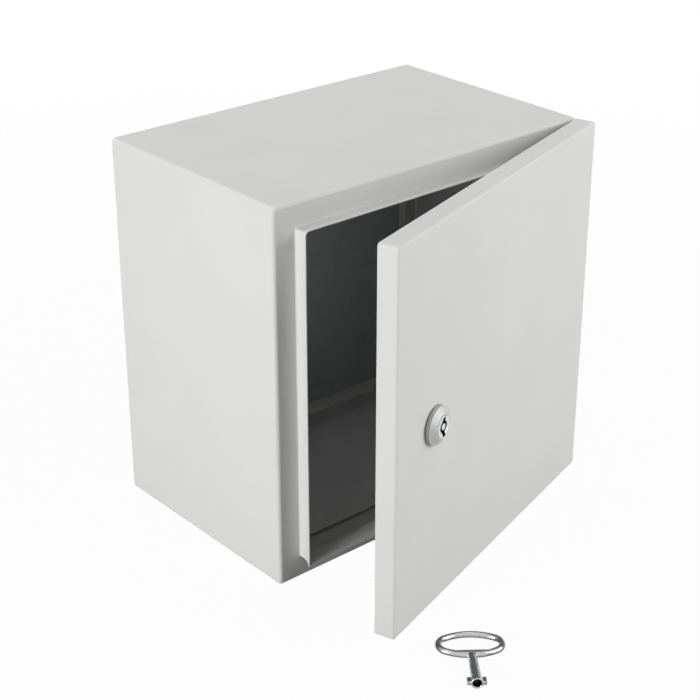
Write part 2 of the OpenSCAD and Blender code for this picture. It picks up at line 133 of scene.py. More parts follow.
def studio_floor():
    """White card: seen as white, with a faint shadow, and lit like any matt card."""
    material, tree = new_material("matt_white_card")
    card = add_node(tree, "ShaderNodeBsdfDiffuse", inputs={"Color": linear(CARD_GREY)})
    glow = add_node(tree, "ShaderNodeEmission", inputs={"Color": (1, 1, 1, 1), "Strength": 1.0})
    place = add_node(tree, "ShaderNodeTexCoord")
    away = add_node(tree, "ShaderNodeVectorMath", {"operation": "LENGTH"},
                    links={0: place.outputs["Object"]})
    amount = add_node(tree, "ShaderNodeMapRange",
                      inputs={"From Min": SHADOW_NEAR, "From Max": SHADOW_FAR,
                              "To Min": FLOOR_WHITE, "To Max": 1.0},
                      links={"Value": away.outputs["Value"]})
    share = add_node(tree, "ShaderNodeMath", {"operation": "MULTIPLY"},
                     links={0: seen_directly(tree), 1: amount.outputs[0]})
    mix = add_node(tree, "ShaderNodeMixShader", links={0: share.outputs[0]})
    tree.links.new(card.outputs[0], mix.inputs[1])
    tree.links.new(glow.outputs[0], mix.inputs[2])
    add_node(tree, "ShaderNodeOutputMaterial", links={"Surface": mix.outputs[0]})
    mesh = bpy.data.meshes.new("studio_floor")
    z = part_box("body_shell")[0][2]
    h = FLOOR_HALF
    mesh.from_pydata([(-h, -h, z), (h, -h, z), (h, h, z), (-h, h, z)], [], [(0, 1, 2, 3)])
    mesh.materials.append(material)
    link_object("studio_floor", mesh)


def studio_world():
    """White where it is seen, and a weak grey fill as light."""
    world = bpy.data.worlds.new("studio_world")
    bpy.context.scene.world = world
    world.use_nodes = True
    tree = world.node_tree
    tree.nodes.clear()
    fill = add_node(tree, "ShaderNodeBackground",
                    inputs={"Color": (1, 1, 1, 1), "Strength": WORLD_FILL})
    white = add_node(tree, "ShaderNodeBackground", inputs={"Color": (1, 1, 1, 1), "Strength": 1.0})
    mix = add_node(tree, "ShaderNodeMixShader", links={0: seen_directly(tree)})
    tree.links.new(fill.outputs[0], mix.inputs[1])
    tree.links.new(white.outputs[0], mix.inputs[2])
    add_node(tree, "ShaderNodeOutputWorld", links={"Surface": mix.outputs[0]})


studio_floor()
studio_world()
for name, box in SOFT_BOXES.items():
    light = bpy.data.lights.new(name, "AREA")
    light.shape = "SQUARE"
    light.size = box["size"]
    light.energy = box["watts"]
    lamp = bpy.data.objects.new(name, light)
    lamp.location = box["at"]
    beam = Vector(box["aim"]) - lamp.location
    lamp.rotation_euler = beam.to_track_quat("-Z", "Y").to_euler()
    bpy.context.collection.objects.link(lamp)

# ---------------------------------------------------------------- powder-coated cabinet
# The cabinet's walls, front flange and gutter lip are one sheet of 1.2 mm steel, folded,
# welded at the corners and powder coated light grey. The lip's upper corners are drawn
# round a radius; the lower ones are mitred.
SHEET = 1.2 * MM
WALL_BEND = 3 * MM
FLANGE = 19 * MM
LIP = {"height": 14 * MM, "straight": 4 * MM, "flare": 2.4 * MM, "bend": 1 * MM, "corner": 4 * MM}
LIP_STEPS = 6
EDGE = 0.3 * MM
MITRE = 0.25 * MM
ARC_STEPS = 6
CORNERS = ((1, 1), (-1, 1), (-1, -1), (1, -1))
GLAND_SEAL_W = 8 * MM
GLAND_CUT_CORNER = 6 * MM
SATIN = (0.52, 0.64)
PEEL = {"grain": 1.3 * MM, "depth": 0.12 * MM}
CLOUDS_PER_M = 14

shell_low, shell_high = (Vector(corner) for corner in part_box("body_shell"))
HALF_W = (shell_high.x - shell_low.x) / 2
HALF_H = (shell_high.z - shell_low.z) / 2
FLANGE_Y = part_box("hinge_brackets")[1][1]


def powder_coat(name, colour):
    """Polyester powder coat: satin, with a fine orange peel over very faint clouds."""
    material, tree = new_material(name)
    place = add_node(tree, "ShaderNodeTexCoord")
    peel = add_node(tree, "ShaderNodeTexNoise", inputs={"Scale": 1 / PEEL["grain"], "Detail": 2.0},
                    links={"Vector": place.outputs["Object"]})
    cloud = add_node(tree, "ShaderNodeTexNoise", inputs={"Scale": CLOUDS_PER_M, "Detail": 3.0},
                     links={"Vector": place.outputs["Object"]})
    tint = add_node(tree, "ShaderNodeValToRGB", links={"Fac": cloud.outputs["Fac"]})
    shade = linear(colour)
    tint.color_ramp.elements[0].position = 0.3
    tint.color_ramp.elements[0].color = [c * 0.965 for c in shade[:3]] + [1]
    tint.color_ramp.elements[1].position = 0.7
    tint.color_ramp.elements[1].color = shade
    gloss = add_node(tree, "ShaderNodeMapRange", inputs={"To Min": SATIN[0], "To Max": SATIN[1]},
                     links={"Value": peel.outputs["Fac"]})
    bump = add_node(tree, "ShaderNodeBump", inputs={"Strength": 0.3, "Distance": PEEL["depth"]},
                    links={"Height": peel.outputs["Fac"]})
    shader = add_node(tree, "ShaderNodeBsdfPrincipled", inputs={"IOR": 1.5},
                      links={"Base Color": tint.outputs["Color"], "Roughness": gloss.outputs[0],
                             "Normal": bump.outputs["Normal"]})
    add_node(tree, "ShaderNodeOutputMaterial", links={"Surface": shader.outputs[0]})
    return material


def arc(centre, radius, start, stop, steps=ARC_STEPS):
    """Points on an arc in a section; angles in degrees from the section's first axis."""
    turn = [math.radians(start + (stop - start) * i / steps) for i in range(steps + 1)]
    return [(centre[0] + radius * math.cos(a), centre[1] + radius * math.sin(a)) for a in turn]


def corner_loop(half_w, half_h, upper_r, lower_r, y):
    """A loop round a rectangle in the plane y, with round upper and lower corners."""
    loop = []
    for quarter, (sx, sz) in enumerate(CORNERS):
        r = upper_r if sz > 0 else lower_r
        centre = (sx * (half_w - r), sz * (half_h - r))
        loop += [Vector((x, y, z)) for x, z in arc(centre, r, 90 * quarter, 90 * quarter + 90)]
    return loop


def loft(loops, closed):
    """Skins loops of equally many points; closed joins the last loop to the first."""
    bm = bmesh.new()
    rows = [[bm.verts.new(p) for p in loop] for loop in loops]
    pairs = list(zip(rows, rows[1:] + rows[:1])) if closed else list(zip(rows, rows[1:]))
    for a, b in pairs:
        for i in range(len(a)):
            j = (i + 1) % len(a)
            bm.faces.new((a[i], a[j], b[j], b[i]))
    if not closed:
        bm.faces.new(list(reversed(rows[0])))
        bm.faces.new(rows[-1])
    bmesh.ops.remove_doubles(bm, verts=bm.verts, dist=1e-6)
    bmesh.ops.recalc_face_normals(bm, faces=bm.faces)
    return bm


def to_object(name, bm):
    """Turns a bmesh into an object and frees it."""
    mesh = bpy.data.meshes.new(name)
    bm.to_mesh(mesh)
    bm.free()
    return link_object(name, mesh)


def bake_modifiers(obj):
    """Replaces the object's mesh by its evaluated one and removes the modifiers."""
    graph = bpy.context.evaluated_depsgraph_get()
    mesh = bpy.data.meshes.new_from_object(obj.evaluated_get(graph))
    obj.modifiers.clear()
    obj.data = mesh


def cut(obj, cutter, operation="DIFFERENCE"):
    """Cuts the object by another, or keeps what they share, and deletes the cutter."""
    change = obj.modifiers.new("cut", "BOOLEAN")
    change.operation = operation
    change.solver = "EXACT"
    change.object = cutter
    bake_modifiers(obj)
    bpy.data.objects.remove(cutter)


def settle(obj, material, sharp=35):
    """Smooth shading with flat faces kept flat, sharp past the angle, in one material."""
    obj.data.shade_smooth()
    obj.data.set_sharp_from_angle(angle=math.radians(sharp))
    weight = obj.modifiers.new("weight", "WEIGHTED_NORMAL")
    weight.keep_sharp = True
    weight.weight = 100
    bake_modifiers(obj)
    obj.data.materials.clear()
    obj.data.materials.append(material)


def prism(name, outline, low, high, axis="Z"):
    """A straight prism on an outline, from low to high along an axis."""
    turn = {"Z": lambda a, b, c: (a, b, c), "Y": lambda a, b, c: (a, c, b)}[axis]
    loops = [[Vector(turn(a, b, c)) for a, b in outline] for c in (low, high)]
    return to_object(name, loft(loops, closed=False))


def rounded_outline(half_a, half_b, r, centre=(0, 0)):
    """Points of a rectangle with round corners."""
    loop = corner_loop(half_a, half_b, r, r, 0)
    return [(p.x + centre[0], p.z + centre[1]) for p in loop]


def shell_loops():
    """The sheet's section, carried round the cabinet: in the wall, flange, lip and back."""
    lip_u = FLANGE
    bend = LIP["bend"]
    section = []
    depth = -FLANGE_Y

    def add(points, upper, lower):
        section.extend((u, f, upper(u), lower(u)) for u, f in points)

    def wall_r(u):
        return max(WALL_BEND - u, MITRE)

    def lip_upper(u):
        return LIP["corner"] - LIP["flare"] + lip_u - u

    def lip_lower(u):
        return MITRE

    add([(0, 0)], wall_r, wall_r)
    add(arc((WALL_BEND, depth - WALL_BEND), WALL_BEND, 180, 90), wall_r, wall_r)
    add(arc((lip_u - bend, depth + bend), bend, -90, 0), lip_upper, lip_lower)
    rise = LIP["height"] - LIP["straight"]
    leaning = [(i / LIP_STEPS, depth + LIP["straight"] + rise * i / LIP_STEPS)
               for i in range(LIP_STEPS + 1)]
    slant = math.degrees(math.atan2(2 * LIP["flare"], rise))
    add([(lip_u - LIP["flare"] * k * k, f) for k, f in leaning[:-1]], lip_upper, lip_lower)
    tip = (lip_u - LIP["flare"] + SHEET / 2, depth + LIP["height"] - SHEET / 2)
    add(arc(tip, SHEET / 2, 180 + slant, slant), lip_upper, lip_lower)
    add([(lip_u - LIP["flare"] * k * k + SHEET, f) for k, f in reversed(leaning[:-1])],
        lip_upper, lip_lower)
    add(arc((lip_u - bend, depth + bend), bend + SHEET, 0, -90), lip_upper, lip_lower)
    add(arc((WALL_BEND, depth - WALL_BEND), WALL_BEND - SHEET, 90, 180), wall_r, wall_r)
    add([(SHEET, 0)], wall_r, wall_r)
    return [corner_loop(HALF_W - u, HALF_H - u, upper, lower, -f)
            for u, f, upper, lower in section]


# Light grey satin powder coat: to the eye an even pale grey with a soft sheen on the
# bends. Its peel is about as coarse as a real one.
paint = powder_coat("light_grey_powder_coat", "#D5D5D4")
cabinet = to_object("cabinet_shell", loft(shell_loops(), closed=True))
gland_low, gland_high = (Vector(corner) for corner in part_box("gland_seal"))
gland_mid = (gland_low + gland_high) / 2
cut(cabinet, prism("gland_cut",
                   rounded_outline((gland_high.x - gland_low.x) / 2 - GLAND_SEAL_W,
                                   (gland_high.y - gland_low.y) / 2 - GLAND_SEAL_W,
                                   GLAND_CUT_CORNER, (gland_mid.x, gland_mid.y)),
                   shell_low.z - SHEET, shell_low.z + 2 * SHEET))
settle(cabinet, paint)
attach(cabinet, "cabinet")
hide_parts("body_shell")

# ---------------------------------------------------------------- rear panel
# The back is a second steel sheet with a rim turned forward all round. It is slipped into
# the rear of the cabinet and seam welded, with four holes for the wall screws.
REAR_W = 297.6 * MM
REAR_RIM = 14 * MM
REAR_BEND = WALL_BEND - SHEET
WALL_HOLE_AT = 130 * MM
WALL_HOLE_R = 4.25 * MM


def circle_outline(r, steps=48, centre=(0, 0)):
    """Points round a circle."""
    return arc(centre, r, 0, 360, steps)[:-1]


def rear_loops():
    """From the middle of the back, round the bend, along the rim and back inside."""
    half = REAR_W / 2
    inner_bend = REAR_BEND - SHEET
    outer = arc((REAR_BEND, REAR_BEND), REAR_BEND, 270, 180) + [(0, REAR_RIM)]
    inside = [(SHEET, REAR_RIM)] + arc((REAR_BEND, REAR_BEND), inner_bend, 180, 270)
    return [corner_loop(half - u, half - u, r, r, -f)
            for u, f in outer + inside for r in [max(REAR_BEND - u, MITRE)]]


rear = to_object("rear_tray", loft(rear_loops(), closed=False))
for sx, sz in CORNERS:
    hole = circle_outline(WALL_HOLE_R, centre=(sx * WALL_HOLE_AT, sz * WALL_HOLE_AT))
    cut(rear, prism("wall_hole", hole, -2 * SHEET, SHEET, axis="Y"))
settle(rear, paint)
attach(rear, "cabinet")
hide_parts("rear_panel")

# ---------------------------------------------------------------- plate studs
# Four zinc-plated M8 studs, resistance welded to the rear panel. They carry the
# mounting plate.
STUD_AT = 112.5 * MM
STUD_R = 4 * MM
STUD_PITCH = 1.25 * MM
THREAD_SIDES = 24
ROWS_PER_PITCH = 6
FACING_FRONT = Matrix.Rotation(math.radians(90), 4, "X")
FACING_BACK = Matrix.Rotation(math.radians(-90), 4, "X")
STUD_END_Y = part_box("plate_studs")[0][1]


def brushed_metal(name, colour, roughness, grain, depth, metallic=1.0):
    """Metal with fine unevenness of the given grain in metres in its gloss and surface."""
    material, tree = new_material(name)
    place = add_node(tree, "ShaderNodeTexCoord")
    noise = add_node(tree, "ShaderNodeTexNoise", inputs={"Scale": 1 / grain, "Detail": 3.0},
                     links={"Vector": place.outputs["Object"]})
    gloss = add_node(tree, "ShaderNodeMapRange",
                     inputs={"To Min": roughness * 0.8, "To Max": roughness * 1.2},
                     links={"Value": noise.outputs["Fac"]})
    bump = add_node(tree, "ShaderNodeBump", inputs={"Strength": 0.3, "Distance": depth},
                    links={"Height": noise.outputs["Fac"]})
    shader = add_node(tree, "ShaderNodeBsdfPrincipled",
                      inputs={"Base Color": linear(colour), "Metallic": metallic},
                      links={"Roughness": gloss.outputs[0], "Normal": bump.outputs["Normal"]})
    add_node(tree, "ShaderNodeOutputMaterial", links={"Surface": shader.outputs[0]})
    return material


def threaded_rod(name, radius, pitch, length):
    """A rolled screw thread from z 0 to its length, both ends chamfered."""
    depth = 0.6 * pitch
    rows = round(length / pitch * ROWS_PER_PITCH)
    bm = bmesh.new()
    grid = []
    for i in range(rows + 1):
        z = length * i / rows
        limit = radius - max(0, depth - min(z, length - z))
        row = []
        for j in range(THREAD_SIDES):
            turn = j / THREAD_SIDES
            crest = abs(2 * ((z / pitch - turn) % 1) - 1)
            r = min(radius - depth + depth * min(1, 1.25 * crest), limit)
            angle = math.tau * turn
            row.append(bm.verts.new((r * math.cos(angle), r * math.sin(angle), z)))
        grid.append(row)
    for a, b in zip(grid, grid[1:]):
        for j in range(THREAD_SIDES):
            k = (j + 1) % THREAD_SIDES
            bm.faces.new((a[j], a[k], b[k], b[j]))
    bm.faces.new(list(reversed(grid[0])))
    bm.faces.new(grid[-1])
    return to_object(name, bm)


def copies_group():
    """Geometry Nodes: a copy of a part at every point, each turned at random, in one finish."""
    group = bpy.data.node_groups.new("place_copies", "GeometryNodeTree")
    for socket, kind in (("Places", "NodeSocketGeometry"), ("Part", "NodeSocketObject"),
                         ("Turn", "NodeSocketVector"), ("Seed", "NodeSocketInt"),
                         ("Finish", "NodeSocketMaterial")):
        group.interface.new_socket(socket, in_out="INPUT", socket_type=kind)
    group.interface.new_socket("Geometry", in_out="OUTPUT", socket_type="NodeSocketGeometry")
    source = add_node(group, "NodeGroupInput")
    part = add_node(group, "GeometryNodeObjectInfo", links={"Object": source.outputs["Part"]})
    back = add_node(group, "ShaderNodeVectorMath", {"operation": "SCALE"}, {"Scale": -1.0},
                    {0: source.outputs["Turn"]})
    turn = add_node(group, "FunctionNodeRandomValue", {"data_type": "FLOAT_VECTOR"},
                    links={0: back.outputs[0], 1: source.outputs["Turn"],
                           "Seed": source.outputs["Seed"]})
    euler = add_node(group, "FunctionNodeEulerToRotation", links={0: turn.outputs[0]})
    place = add_node(group, "GeometryNodeInstanceOnPoints",
                     links={"Points": source.outputs["Places"],
                            "Instance": part.outputs["Geometry"],
                            "Rotation": euler.outputs[0]})
    real = add_node(group, "GeometryNodeRealizeInstances", links={"Geometry": place.outputs[0]})
    finish = add_node(group, "GeometryNodeSetMaterial",
                      links={"Geometry": real.outputs[0], "Material": source.outputs["Finish"]})
    add_node(group, "NodeGroupOutput", links={0: finish.outputs[0]})
    return group


def run_nodes(obj, group, values):
    """Runs a node group on the object with named inputs and keeps the mesh it makes."""
    change = obj.modifiers.new(group.name, "NODES")
    change.node_group = group
    for item in group.interface.items_tree:
        if item.in_out == "INPUT" and item.name in values:
            change[item.identifier] = values[item.name]
    bake_modifiers(obj)


def smooth_by_angle(obj, sharp=35):
    """Smooth shading with edges past the angle kept sharp."""
    obj.data.shade_smooth()
    obj.data.set_sharp_from_angle(angle=math.radians(sharp))


def copies(name, part, places, turn, seed, material):
    """One mesh holding a copy of the part at every place; the part itself is deleted."""
    smooth_by_angle(part)
    mesh = bpy.data.meshes.new(name)
    mesh.from_pydata(places, [], [])
    obj = link_object(name, mesh)
    run_nodes(obj, PLACE_COPIES, {"Part": part, "Turn": turn, "Seed": seed, "Finish": material})
    bpy.data.objects.remove(part)
    return obj


PLACE_COPIES = copies_group()
# Bright zinc plate: silvery, with small glints where it turns. Its unevenness is drawn
# coarser than real, or it would vanish at this distance.
zinc = brushed_metal("bright_zinc_plate", "#C9CBCB", 0.32, 2.5 * MM, 0.03 * MM)
four_studs = [(sx * STUD_AT, sz * STUD_AT) for sx, sz in CORNERS]
rod = threaded_rod("rod", STUD_R, STUD_PITCH, -SHEET - STUD_END_Y)
rod.data.transform(FACING_FRONT)
studs = copies("plate_stud_set", rod, [(x, -SHEET, z) for x, z in four_studs],
               (0, 3.1, 0), 11, zinc)
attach(studs, "cabinet")
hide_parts("plate_studs")

# ---------------------------------------------------------------- plate spacers
# Moulded black nylon sleeves slipped over the studs. They hold the mounting plate off
# the back, so that its equipment's screws have room behind it.
SPACER_R = 7 * MM
SPACER_BORE = 4.05 * MM
SPACER_EDGE = 0.4 * MM
spacer_low, spacer_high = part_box("plate_spacers")


def turned(name, profile, steps=64, closed=False):
    """A body of revolution about z from (radius, height) points; closed joins last to first."""
    return to_object(name, loft([[Vector((x, y, h)) for x, y in circle_outline(r, steps)]
                                 for r, h in profile], closed))


def dull_plastic(name, colour, roughness, grain, depth):
    """Moulded plastic or rubber: matt, with a fine texture of the given grain in metres."""
    material, tree = new_material(name)
    place = add_node(tree, "ShaderNodeTexCoord")
    noise = add_node(tree, "ShaderNodeTexNoise", inputs={"Scale": 1 / grain, "Detail": 4.0},
                     links={"Vector": place.outputs["Object"]})
    shade = add_node(tree, "ShaderNodeValToRGB", links={"Fac": noise.outputs["Fac"]})
    dark = linear(colour)
    shade.color_ramp.elements[0].position = 0.35
    shade.color_ramp.elements[0].color = [c * 0.8 for c in dark[:3]] + [1]
    shade.color_ramp.elements[1].position = 0.65
    shade.color_ramp.elements[1].color = dark
    bump = add_node(tree, "ShaderNodeBump", inputs={"Strength": 0.5, "Distance": depth},
                    links={"Height": noise.outputs["Fac"]})
    shader = add_node(tree, "ShaderNodeBsdfPrincipled",
                      inputs={"IOR": 1.5, "Roughness": roughness},
                      links={"Base Color": shade.outputs["Color"],
                             "Normal": bump.outputs["Normal"]})
    add_node(tree, "ShaderNodeOutputMaterial", links={"Surface": shader.outputs[0]})
    return material


length = spacer_high.y - spacer_low.y
edge = SPACER_EDGE
sleeve = turned("sleeve", [(SPACER_BORE + edge, 0), (SPACER_R - edge, 0), (SPACER_R, edge),
                           (SPACER_R, length - edge), (SPACER_R - edge, length),
                           (SPACER_BORE + edge, length), (SPACER_BORE, length - edge),
                           (SPACER_BORE, edge)], 48, closed=True)
sleeve.data.transform(FACING_FRONT)
# Black nylon: dark and dull, with no clear highlight. The grain is drawn coarser than real.
black_nylon = dull_plastic("black_nylon", "#2A2B2C", 0.5, 0.8 * MM, 0.03 * MM)
spacers = copies("plate_spacer_set", sleeve, [(x, spacer_high.y, z) for x, z in four_studs],
                 (0, 0.5, 0), 12, black_nylon)
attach(spacers, "cabinet")
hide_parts("plate_spacers")

# ---------------------------------------------------------------- mounting plate
# The plate that the equipment is fitted to: 2 mm galvanised steel, sheared with round
# corners and four holes over the studs.
PLATE_CORNER = 5 * MM
PLATE_HOLE = 4.5 * MM
PLATE_EDGE = 0.2 * MM
plate_low, plate_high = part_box("mounting_plate")


def galvanised(name, colour, spangle):
    """Hot-dip zinc: flat crystals of the given size in metres, each a little lighter or duller."""
    material, tree = new_material(name)
    place = add_node(tree, "ShaderNodeTexCoord")
    stir = add_node(tree, "ShaderNodeTexNoise", inputs={"Scale": 0.5 / spangle, "Detail": 2.0},
                    links={"Vector": place.outputs["Object"]})
    shift = add_node(tree, "ShaderNodeVectorMath", {"operation": "MULTIPLY_ADD"},
                     links={0: stir.outputs["Color"], 2: place.outputs["Object"]})
    shift.inputs[1].default_value = (spangle, spangle, spangle)
    crystals = add_node(tree, "ShaderNodeTexVoronoi", inputs={"Scale": 1 / spangle},
                        links={"Vector": shift.outputs[0]})
    shade = add_node(tree, "ShaderNodeValToRGB", links={"Fac": crystals.outputs["Color"]})
    base = linear(colour)
    shade.color_ramp.elements[0].color = [c * 0.88 for c in base[:3]] + [1]
    shade.color_ramp.elements[1].color = base
    gloss = add_node(tree, "ShaderNodeMapRange", inputs={"To Min": 0.36, "To Max": 0.52},
                     links={"Value": crystals.outputs["Color"]})
    shader = add_node(tree, "ShaderNodeBsdfPrincipled", inputs={"Metallic": 1.0},
                      links={"Base Color": shade.outputs["Color"], "Roughness": gloss.outputs[0]})
    add_node(tree, "ShaderNodeOutputMaterial", links={"Surface": shader.outputs[0]})
    return material


def edged_plate(name, half_a, half_b, corner, thickness, edge):
    """A flat plate from z 0 with round corners and its edges broken."""
    loops = [corner_loop(half_a - u, half_b - u, corner - u, corner - u, 0)
             for u in (edge, 0, 0, edge)]
    for loop, z in zip(loops, (0, edge, thickness - edge, thickness)):
        for p in loop:
            p.x, p.y, p.z = p.x, p.z, z
    return to_object(name, loft(loops, closed=False))


# Hot-dip zinc: a grey sheet with faint flat crystals; 9 mm is a common real size of them.
zinc_coat = galvanised("galvanised_spangle", "#B9BCBE", 9 * MM)
half = (plate_high.x - plate_low.x) / 2
plate = edged_plate("mounting_sheet", half, half, PLATE_CORNER, plate_high.y - plate_low.y,
                    PLATE_EDGE)
plate.data.transform(Matrix.Translation((0, plate_high.y, 0)) @ FACING_FRONT)
for x, z in four_studs:
    cut(plate, prism("stud_hole", circle_outline(PLATE_HOLE, centre=(x, z)),
                     plate_low.y - SHEET, plate_high.y + SHEET, axis="Y"))
settle(plate, zinc_coat)
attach(plate, "cabinet")
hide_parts("mounting_plate")

# ---------------------------------------------------------------- washers and nuts of the plate
# One plain washer and one M8 nut on every stud, both stamped or pressed from steel and
# zinc plated. They clamp the mounting plate against its sleeves.
PLATE_WASHER_R = 8 * MM
WASHER_FREE = 0.2 * MM
PLATE_NUT_AF = 13 * MM
NUT_SIDES = 72
NUT_EDGE = 0.5 * MM
NUT_FACE = 0.97
CHAMFER_STEPS = 4
washer_low, washer_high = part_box("plate_washers")
nut_low, nut_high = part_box("plate_nuts")


def washer(name, outer, bore, thickness):
    """A stamped washer: rolled on its upper edge, broken on the lower one."""
    e = 0.15 * MM
    return turned(name, [(bore, e), (bore + e, 0), (outer - e, 0), (outer, e),
                         (outer, thickness - 2 * e), (outer - 2 * e, thickness),
                         (bore + e, thickness), (bore, thickness - e)], 48, closed=True)


def hex_nut(name, across, thickness, bore, flange=None):
    """A hexagon nut with chamfered corners, or a flanged one given (radius, thickness)."""
    e = NUT_EDGE
    flat = across / 2
    corner = flat / math.cos(math.radians(30))
    drop = (corner - flat) * 0.5
    chamfer = [(flat + (corner - flat) * k / CHAMFER_STEPS, drop * k / CHAMFER_STEPS)
               for k in range(CHAMFER_STEPS + 1)]

    def hexagon(limit, z):
        loop = []
        for i in range(NUT_SIDES):
            a = math.tau * i / NUT_SIDES
            reach = flat / math.cos((a + math.pi / 6) % (math.pi / 3) - math.pi / 6)
            r = min(reach, limit)
            loop.append(Vector((r * math.cos(a), r * math.sin(a), z)))
        return loop

    def ring(r, z):
        return [Vector((x, y, z)) for x, y in circle_outline(r, NUT_SIDES)]

    if flange:
        rim, height = flange
        loops = [ring(rim - e / 2, 0), ring(rim, e / 2), ring(rim, height - e / 2),
                 ring(rim - e / 2, height), hexagon(corner, height)]
    else:
        loops = [hexagon(flat * NUT_FACE, 0)] + [hexagon(limit, z) for limit, z in chamfer]
    loops += [hexagon(limit, thickness - z) for limit, z in reversed(chamfer)]
    loops += [hexagon(flat * NUT_FACE, thickness), ring(bore + e, thickness),
              ring(bore, thickness - e), ring(bore, e), ring(bore + e, 0)]
    return to_object(name, loft(loops, closed=True))


disc = washer("disc", PLATE_WASHER_R, STUD_R + WASHER_FREE, washer_high.y - washer_low.y)
disc.data.transform(FACING_FRONT)
plate_washers = copies("plate_washer_set", disc, [(x, washer_high.y, z) for x, z in four_studs],
                       (0, 3.1, 0), 13, zinc)
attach(plate_washers, "cabinet")
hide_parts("plate_washers")

hexagon_nut = hex_nut("m8_nut", PLATE_NUT_AF, nut_high.y - nut_low.y, STUD_R)
hexagon_nut.data.transform(FACING_FRONT)
plate_nuts = copies("plate_nut_set", hexagon_nut, [(x, nut_high.y, z) for x, z in four_studs],
                    (0, 3.1, 0), 14, zinc)
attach(plate_nuts, "cabinet")
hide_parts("plate_nuts")

# ---------------------------------------------------------------- gland plate and its seal
# A removable painted steel plate closes the cable opening in the floor. It lies on a black
# foam rubber frame and is cut open for the cables once the cabinet is installed.
GLAND_CORNER = 6 * MM
GLAND_SEAL_INNER = 3 * MM
FOAM_EDGE = 0.4 * MM
GLAND_STUD_R = 2.5 * MM
GLAND_NUT_AF = 8 * MM
GLAND_STUD_X = 101.5 * MM
GLAND_HOLE_INSET = 6.5 * MM
GLAND_FREE = 0.3 * MM
sheet_low, sheet_high = (Vector(c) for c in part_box("gland_plate"))
# Black foam rubber: nearly black and matt, with open pores drawn coarser than real.
foam_rubber = dull_plastic("black_foam_rubber", "#1E1F20", 0.85, 1.2 * MM, 0.08 * MM)

seal_half = Vector(((gland_high.x - gland_low.x) / 2, (gland_high.y - gland_low.y) / 2))
seal_t = gland_high.z - gland_low.z
rounds = [(FOAM_EDGE, 0), (0, FOAM_EDGE), (0, seal_t - FOAM_EDGE), (FOAM_EDGE, seal_t)]
loops = [rounded_outline(seal_half.x - u, seal_half.y - u, GLAND_CORNER - u) for u, z in rounds]
loops += [rounded_outline(seal_half.x - GLAND_SEAL_W + u, seal_half.y - GLAND_SEAL_W + u,
                          GLAND_SEAL_INNER) for u, z in reversed(rounds)]
heights = [z for u, z in rounds] + [z for u, z in reversed(rounds)]
frame_seal = to_object("gland_seal_frame", loft(
    [[Vector((x + gland_mid.x, y + gland_mid.y, gland_low.z + z)) for x, y in loop]
     for loop, z in zip(loops, heights)], closed=True))
settle(frame_seal, foam_rubber)
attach(frame_seal, "cabinet")
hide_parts("gland_seal")

gland_half = (sheet_high - sheet_low) / 2
gland_centre = (sheet_high + sheet_low) / 2
gland = edged_plate("gland_sheet", gland_half.x, gland_half.y, GLAND_CORNER, 2 * gland_half.z,
                    PLATE_EDGE)
gland.data.transform(Matrix.Translation((gland_centre.x, gland_centre.y, sheet_low.z)))
six_studs = [(x, gland_centre.y + s * (gland_half.y - GLAND_HOLE_INSET))
             for x in (-GLAND_STUD_X, 0, GLAND_STUD_X) for s in (-1, 1)]
for x, y in six_studs:
    cut(gland, prism("gland_hole", circle_outline(GLAND_STUD_R + GLAND_FREE, centre=(x, y)),
                     sheet_low.z - SHEET, sheet_high.z + SHEET))
settle(gland, paint)
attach(gland, "cabinet")
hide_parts("gland_plate")

# ---------------------------------------------------------------- gland studs and nuts
# Six M5 studs of zinc-plated steel, welded to the cabinet's floor round the opening.
# Their nuts clamp the gland plate down on its seal.
GLAND_PITCH = 0.8 * MM
stud_low, stud_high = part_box("gland_studs")
gland_nut_low, gland_nut_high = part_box("gland_nuts")
rod = threaded_rod("rod", GLAND_STUD_R, GLAND_PITCH, stud_high.z - stud_low.z)
gland_studs = copies("gland_stud_set", rod, [(x, y, stud_low.z) for x, y in six_studs],
                     (0, 0, 3.1), 15, zinc)
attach(gland_studs, "cabinet")
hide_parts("gland_studs")

hexagon_nut = hex_nut("m5_nut", GLAND_NUT_AF, gland_nut_high.z - gland_nut_low.z, GLAND_STUD_R)
gland_nuts = copies("gland_nut_set", hexagon_nut, [(x, y, gland_nut_low.z) for x, y in six_studs],
                    (0, 0, 3.1), 16, zinc)
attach(gland_nuts, "cabinet")
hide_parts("gland_nuts")

# ---------------------------------------------------------------- hinges
# Zinc-plated brackets are spot welded to the flange; the lugs on the inside of the door
# are welded to it before the coating and painted with it.
EDGE_BREAK = 0.2 * MM
MERGE = 0.002 * MM


def merged_copy(name, node):
    """An object at the origin with the node's own mesh, its double points merged."""
    source = frame["nodes"][node]
    bm = bmesh.new()
    bm.from_mesh(source.data)
    bm.transform(source.matrix_world)
    bmesh.ops.remove_doubles(bm, verts=bm.verts, dist=MERGE)
    return to_object(name, bm)


def softened(name, node, body, material):
    """Stands in for a node with its own merged mesh, its sharp edges broken and shaded smooth."""
    obj = merged_copy(name, node)
    bevel = obj.modifiers.new("edge", "BEVEL")
    bevel.width = EDGE_BREAK
    bevel.segments = 2
    bevel.limit_method = "ANGLE"
    bevel.angle_limit = math.radians(40)
    settle(obj, material)
    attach(obj, body)
    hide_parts(node)


softened("hinge_bracket_pair", "hinge_brackets", "cabinet", zinc)
softened("hinge_lug_pair", "door_hinge_lugs", "door", paint)

# ---------------------------------------------------------------- hinge pins
# Two upright steel pins, zinc plated. Each is pressed into its bracket and the door's
# lugs turn on it.
softened("hinge_pin_pair", "hinge_pins", "cabinet", zinc)

# ---------------------------------------------------------------- door
# A tray folded from the same steel, welded and ground at its corners and powder coated
# like the cabinet. It hangs on two concealed pins at its right edge.
DOOR_DEPTH = 16 * MM
DOOR_GAP = 2 * MM
DOOR_BEND = 2 * MM
DOOR_CORNER = 2.5 * MM
BARREL_HOLE = 11.3 * MM
RIM_STEPS = 3

